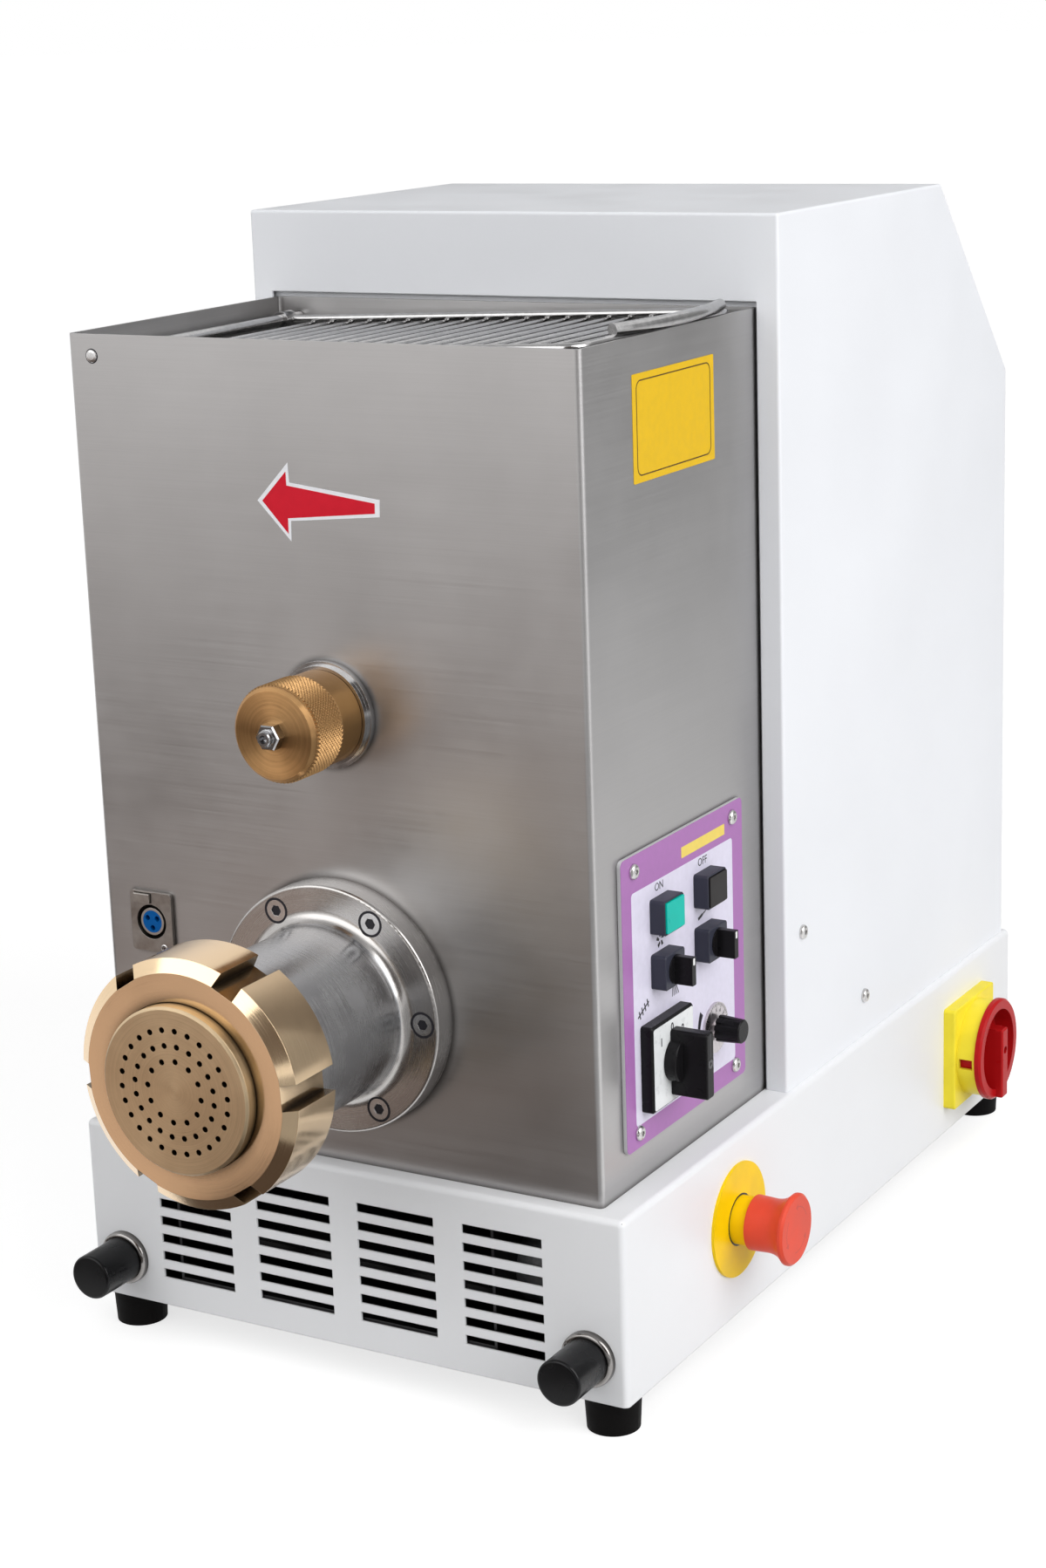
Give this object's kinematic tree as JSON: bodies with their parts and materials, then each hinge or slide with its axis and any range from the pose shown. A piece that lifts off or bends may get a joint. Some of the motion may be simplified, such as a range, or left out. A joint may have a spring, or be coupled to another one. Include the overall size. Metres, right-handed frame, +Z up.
{
  "type": "pasta extruder",
  "caption": "Bench-top pasta extruder: lidded mixing hopper over a screw barrel with a perforated die, rear drive housing, side control panel and a vented base on rubber feet.",
  "frame": {"origin": "on the floor midway between the four feet", "axes": "+Z up, -Y out of the front with the die, +X to the right with the control panel"},
  "size_m": [0.3445, 0.634, 0.557],
  "materials": {
    "painted_white": "smooth satin paint",
    "stainless": "brushed",
    "turned_steel": "fine turned",
    "plain_steel": "plain",
    "brass": "turned and polished",
    "die_bronze": "turned",
    "rubber": "moulded",
    "chrome": "polished",
    "black_plastic": "fine matte",
    "dark_grey_plastic": "fine matte",
    "green_plastic": "glossy",
    "purple_panel": "printed film",
    "nickel": "satin nickel",
    "blue_plastic": "moulded",
    "yellow_plastic": "moulded",
    "red_plastic": "moulded",
    "cast_aluminium": "cast"
  },
  "bodies": {
    "machine": {"base_pan": "painted_white", "rear_housing": "painted_white", "back_panel": "painted_white", "bulkhead": "painted_white", "hopper_shell": "stainless", "mixing_trough": "stainless", "barrel": "turned_steel", "knob_collar": "turned_steel", "bottom_plate": "plain_steel", "motor_plate": "plain_steel", "standoffs": "plain_steel", "shaft_bearings": "plain_steel", "barrel_screws": "plain_steel", "dome_screws": "plain_steel", "fan_scroll": "plain_steel", "feet": "rubber", "tray_guides": "chrome", "cam_switch_plate": "black_plastic", "estop_body": "black_plastic", "main_switch_block": "black_plastic", "lid_switch": "black_plastic", "contactor": "black_plastic", "cable_gland": "black_plastic", "switch_housings": "dark_grey_plastic", "panel_plate": "purple_panel", "connector_flange": "nickel", "speed_dial": "nickel", "connector_insert": "blue_plastic", "estop_plate": "yellow_plastic", "main_switch_plate": "yellow_plastic", "gearbox": "cast_aluminium", "motor": "cast_aluminium", "fan_motor": "cast_aluminium"},
    "lid": {"lid_grille": "turned_steel", "lid_pivot_rod": "turned_steel"},
    "die": {"die": "die_bronze"},
    "ring_nut": {"ring_nut": "brass"},
    "shaft_pin": {"shaft_pin": "turned_steel"},
    "knob": {"knurled_knob": "brass", "grease_nipple": "plain_steel"},
    "mixer": {"mixer_shaft": "stainless", "mixer_gear": "plain_steel"},
    "auger": {"auger": "turned_steel", "auger_gear": "plain_steel"},
    "pinion": {"pinion": "plain_steel"},
    "fan": {"fan_rotor": "black_plastic"},
    "start_button": {"start_button": "green_plastic"},
    "stop_button": {"stop_button": "black_plastic"},
    "fan_selector": {"fan_selector_lever": "black_plastic"},
    "knife_selector": {"knife_selector_lever": "black_plastic"},
    "cam_switch": {"cam_switch_handle": "black_plastic"},
    "speed_knob": {"speed_knob": "black_plastic"},
    "estop_plunger": {"estop_plunger": "plain_steel"},
    "estop_head": {"estop_mushroom": "red_plastic"},
    "main_switch": {"main_switch_handle": "red_plastic"},
    "tray_left": {"tray_rod_left": "chrome", "tray_cap_left": "black_plastic"},
    "tray_right": {"tray_rod_right": "chrome", "tray_cap_right": "black_plastic"},
    "latch": {"connector_latch": "nickel"}
  },
  "joints": [
    {"name": "lid_hinge", "type": "hinge", "parent": "machine", "child": "lid", "pos_m": [-0.126, -0.1465, 0.5015], "axis": [0, -1, 0], "range_deg": [0, 100]},
    {"name": "die_slide", "type": "slide", "parent": "machine", "child": "die", "axis": [0, -1, 0], "range_m": [0, 0.018]},
    {"name": "ring_nut_turn", "type": "hinge", "parent": "die", "child": "ring_nut", "pos_m": [0, -0.35, 0.1948], "axis": [0, -1, 0], "range_deg": [0, 2160]},
    {"name": "pin_slide", "type": "slide", "parent": "machine", "child": "shaft_pin", "axis": [0, -1, 0], "range_m": [0, 0.02]},
    {"name": "knob_turn", "type": "hinge", "parent": "shaft_pin", "child": "knob", "pos_m": [0, -0.26, 0.3373], "axis": [0, -1, 0], "range_deg": [0, 1800]},
    {"name": "auger_turn", "type": "hinge", "parent": "machine", "child": "auger", "pos_m": [0, -0.03, 0.1948], "axis": [0, -1, 0], "continuous": true},
    {"name": "mixer_turn", "type": "hinge", "parent": "machine", "child": "mixer", "pos_m": [0, -0.03, 0.3373], "axis": [0, -1, 0], "continuous": true},
    {"name": "pinion_turn", "type": "hinge", "parent": "machine", "child": "pinion", "pos_m": [-0.06894, -0.03, 0.40624], "axis": [0, -1, 0], "continuous": true},
    {"name": "fan_spin", "type": "hinge", "parent": "machine", "child": "fan", "pos_m": [0, -0.204, 0.0643], "axis": [1, 0, 0], "continuous": true},
    {"name": "start_press", "type": "slide", "parent": "machine", "child": "start_button", "axis": [-1, 0, 0], "range_m": [0, 0.0025], "stiffness_N_per_m": 200},
    {"name": "stop_press", "type": "slide", "parent": "machine", "child": "stop_button", "axis": [-1, 0, 0], "range_m": [0, 0.0025], "stiffness_N_per_m": 200},
    {"name": "fan_selector_turn", "type": "hinge", "parent": "machine", "child": "fan_selector", "pos_m": [0.15, -0.1765, 0.2136], "axis": [-1, 0, 0], "range_deg": [0, 60]},
    {"name": "knife_selector_turn", "type": "hinge", "parent": "machine", "child": "knife_selector", "pos_m": [0.15, -0.131, 0.2136], "axis": [-1, 0, 0], "range_deg": [0, 60]},
    {"name": "cam_switch_turn", "type": "hinge", "parent": "machine", "child": "cam_switch", "pos_m": [0.15, -0.1772, 0.1688], "axis": [-1, 0, 0], "range_deg": [-45, 45]},
    {"name": "speed_turn", "type": "hinge", "parent": "machine", "child": "speed_knob", "pos_m": [0.15, -0.1215, 0.1656], "axis": [-1, 0, 0], "range_deg": [0, 270]},
    {"name": "estop_press", "type": "slide", "parent": "machine", "child": "estop_plunger", "axis": [-1, 0, 0], "range_m": [0, 0.005], "stiffness_N_per_m": 400},
    {"name": "estop_twist", "type": "hinge", "parent": "estop_plunger", "child": "estop_head", "pos_m": [0.17, -0.127, 0.0685], "axis": [-1, 0, 0], "range_deg": [0, 45]},
    {"name": "main_switch_turn", "type": "hinge", "parent": "machine", "child": "main_switch", "pos_m": [0.17, 0.1725, 0.063], "axis": [-1, 0, 0], "range_deg": [0, 90]},
    {"name": "tray_left_slide", "type": "slide", "parent": "machine", "child": "tray_left", "axis": [0, -1, 0], "range_m": [0, 0.15]},
    {"name": "tray_right_slide", "type": "slide", "parent": "machine", "child": "tray_right", "axis": [0, -1, 0], "range_m": [0, 0.15]},
    {"name": "latch_press", "type": "slide", "parent": "machine", "child": "latch", "axis": [0, 1, 0], "range_m": [0, 0.0012], "stiffness_N_per_m": 100}
  ],
  "couplings": [
    {"joint": "die_slide", "follows": "ring_nut_turn", "m_per_rad": 0.00047746},
    {"joint": "pin_slide", "follows": "knob_turn", "m_per_rad": 0.00063662},
    {"joint": "mixer_turn", "follows": "auger_turn", "ratio": -1.1111},
    {"joint": "pinion_turn", "follows": "auger_turn", "ratio": 2.5}
  ]
}
